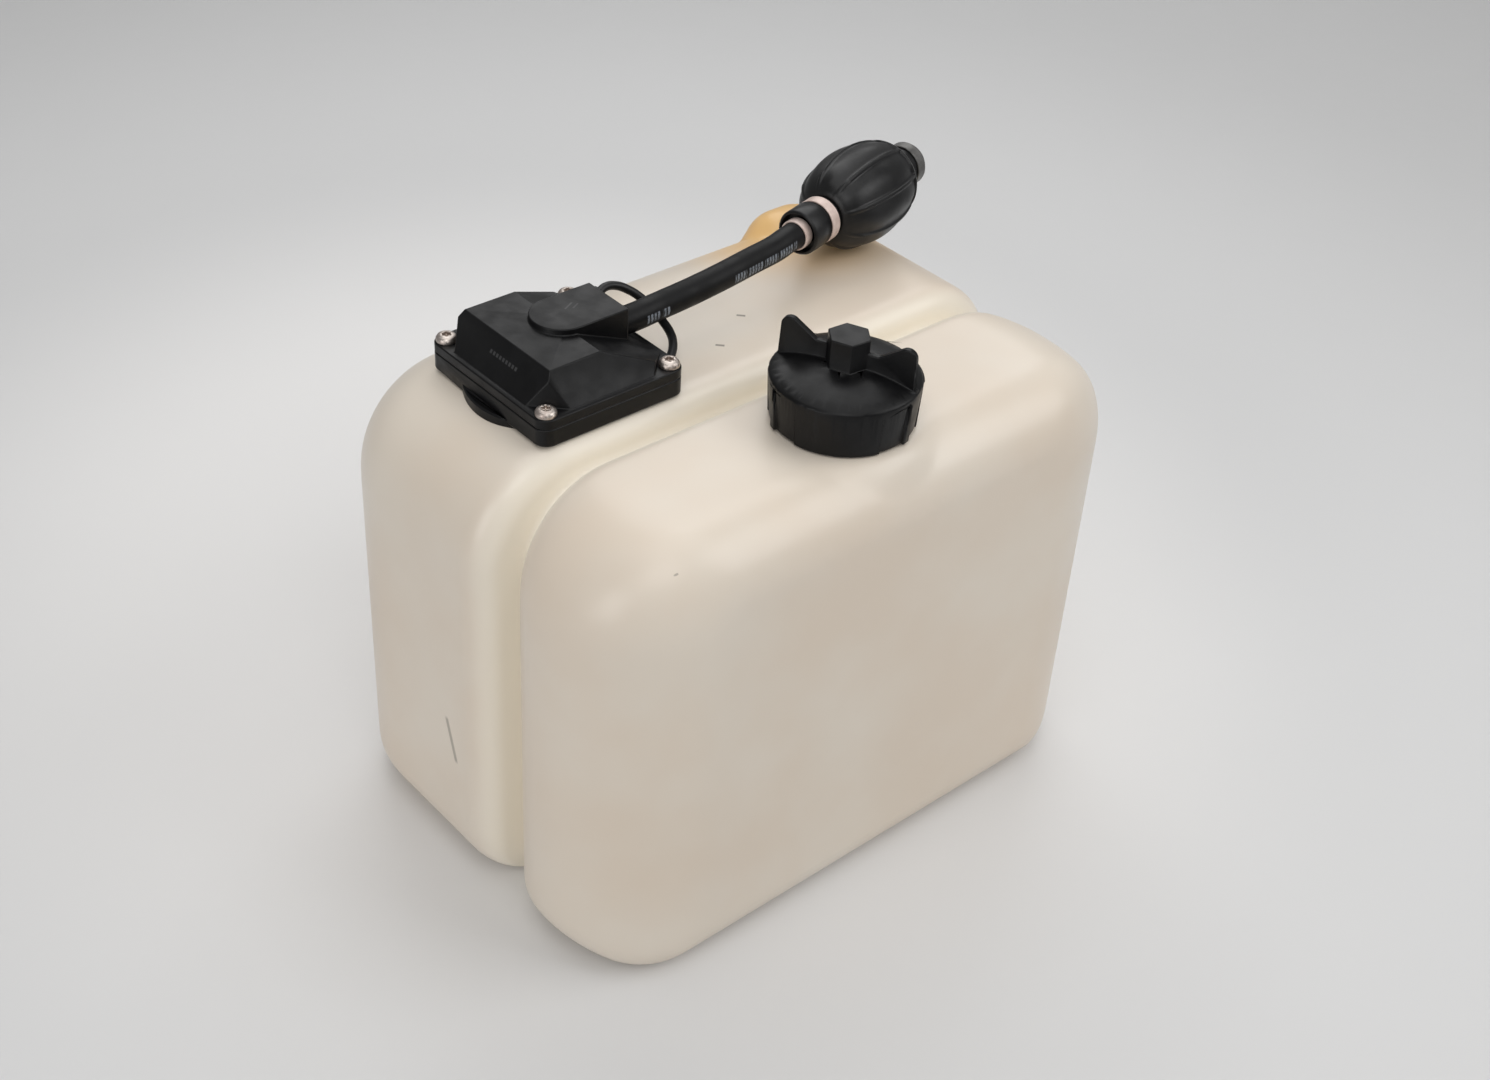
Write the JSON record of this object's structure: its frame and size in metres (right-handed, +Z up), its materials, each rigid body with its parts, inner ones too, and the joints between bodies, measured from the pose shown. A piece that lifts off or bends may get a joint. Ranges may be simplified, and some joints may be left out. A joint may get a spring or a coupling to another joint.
{
  "type": "outboard oil tank",
  "caption": "Portable outboard oil tank: moulded translucent body with a strap channel, winged filler cap, pickup cover and an oil hose with a primer bulb.",
  "frame": {"origin": "middle of the tank's foot, on the surface it stands on", "axes": "+X along the tank towards the hose's outlet end, +Y across it towards the pickup cover's side, +Z up"},
  "size_m": [0.3202, 0.224, 0.2795],
  "materials": {
    "natural_polyethylene": "satin, slightly translucent",
    "black_plastic": "fine texture",
    "dark_plastic": "plain",
    "pale_plastic": "plain",
    "float_foam": "closed-cell foam",
    "black_rubber": "matt",
    "hose_rubber": "semi-matt",
    "bulb_rubber": "moulded, semi-matt",
    "lead_sheath": "smooth sheath",
    "stainless_steel": "bright",
    "pale_band": "dull, slightly warm",
    "dark_band": "dull, dark",
    "brass": "turned",
    "switch_glass": "sealed tube"
  },
  "bodies": {
    "tank_body": {"tank": "natural_polyethylene", "pickup_base": "black_plastic", "base_gasket": "black_rubber", "pickup_cover": "black_plastic", "cover_screws": "stainless_steel", "screw_inserts": "brass", "outlet_elbow": "dark_plastic", "elbow_seal": "black_rubber", "elbow_band": "stainless_steel", "pickup_tube": "pale_plastic", "strainer": "dark_plastic", "float_stem": "pale_plastic", "stem_clip": "stainless_steel", "reed_switch": "switch_glass", "sensor_lead": "lead_sheath", "lead_grommet": "black_rubber", "outlet_hose": "hose_rubber", "hose_band": "pale_band", "inlet_fitting": "dark_plastic", "inlet_cage": "dark_plastic", "inlet_band": "pale_band", "primer_bulb": "bulb_rubber", "outlet_fitting": "dark_plastic", "outlet_seat": "dark_plastic", "outlet_band": "dark_band"},
    "cap_seal": {"cap_gasket": "black_rubber"},
    "cap": {"filler_cap": "black_plastic"},
    "float": {"level_float": "float_foam"},
    "inlet_valve": {"inlet_ball": "pale_plastic"},
    "outlet_valve": {"outlet_ball": "pale_plastic"}
  },
  "joints": [
    {"name": "cap_lift", "type": "slide", "parent": "tank_body", "child": "cap_seal", "axis": [0, 0, 1], "range_m": [0, 0.009]},
    {"name": "cap_turn", "type": "hinge", "parent": "cap_seal", "child": "cap", "pos_m": [0, -0.065, 0.25], "axis": [0, 0, 1], "range_deg": [0, 540]},
    {"name": "float_slide", "type": "slide", "parent": "tank_body", "child": "float", "axis": [0, 0, 1], "range_m": [0, 0.035]},
    {"name": "inlet_ball_slide", "type": "slide", "parent": "tank_body", "child": "inlet_valve", "axis": [0.9703, 0.2419, 0], "range_m": [0, 0.0025]},
    {"name": "outlet_ball_slide", "type": "slide", "parent": "tank_body", "child": "outlet_valve", "axis": [0.9703, 0.2419, 0], "range_m": [0, 0.0025]}
  ],
  "couplings": [
    {"joint": "cap_lift", "follows": "cap_turn", "m_per_rad": 0.00095492}
  ]
}
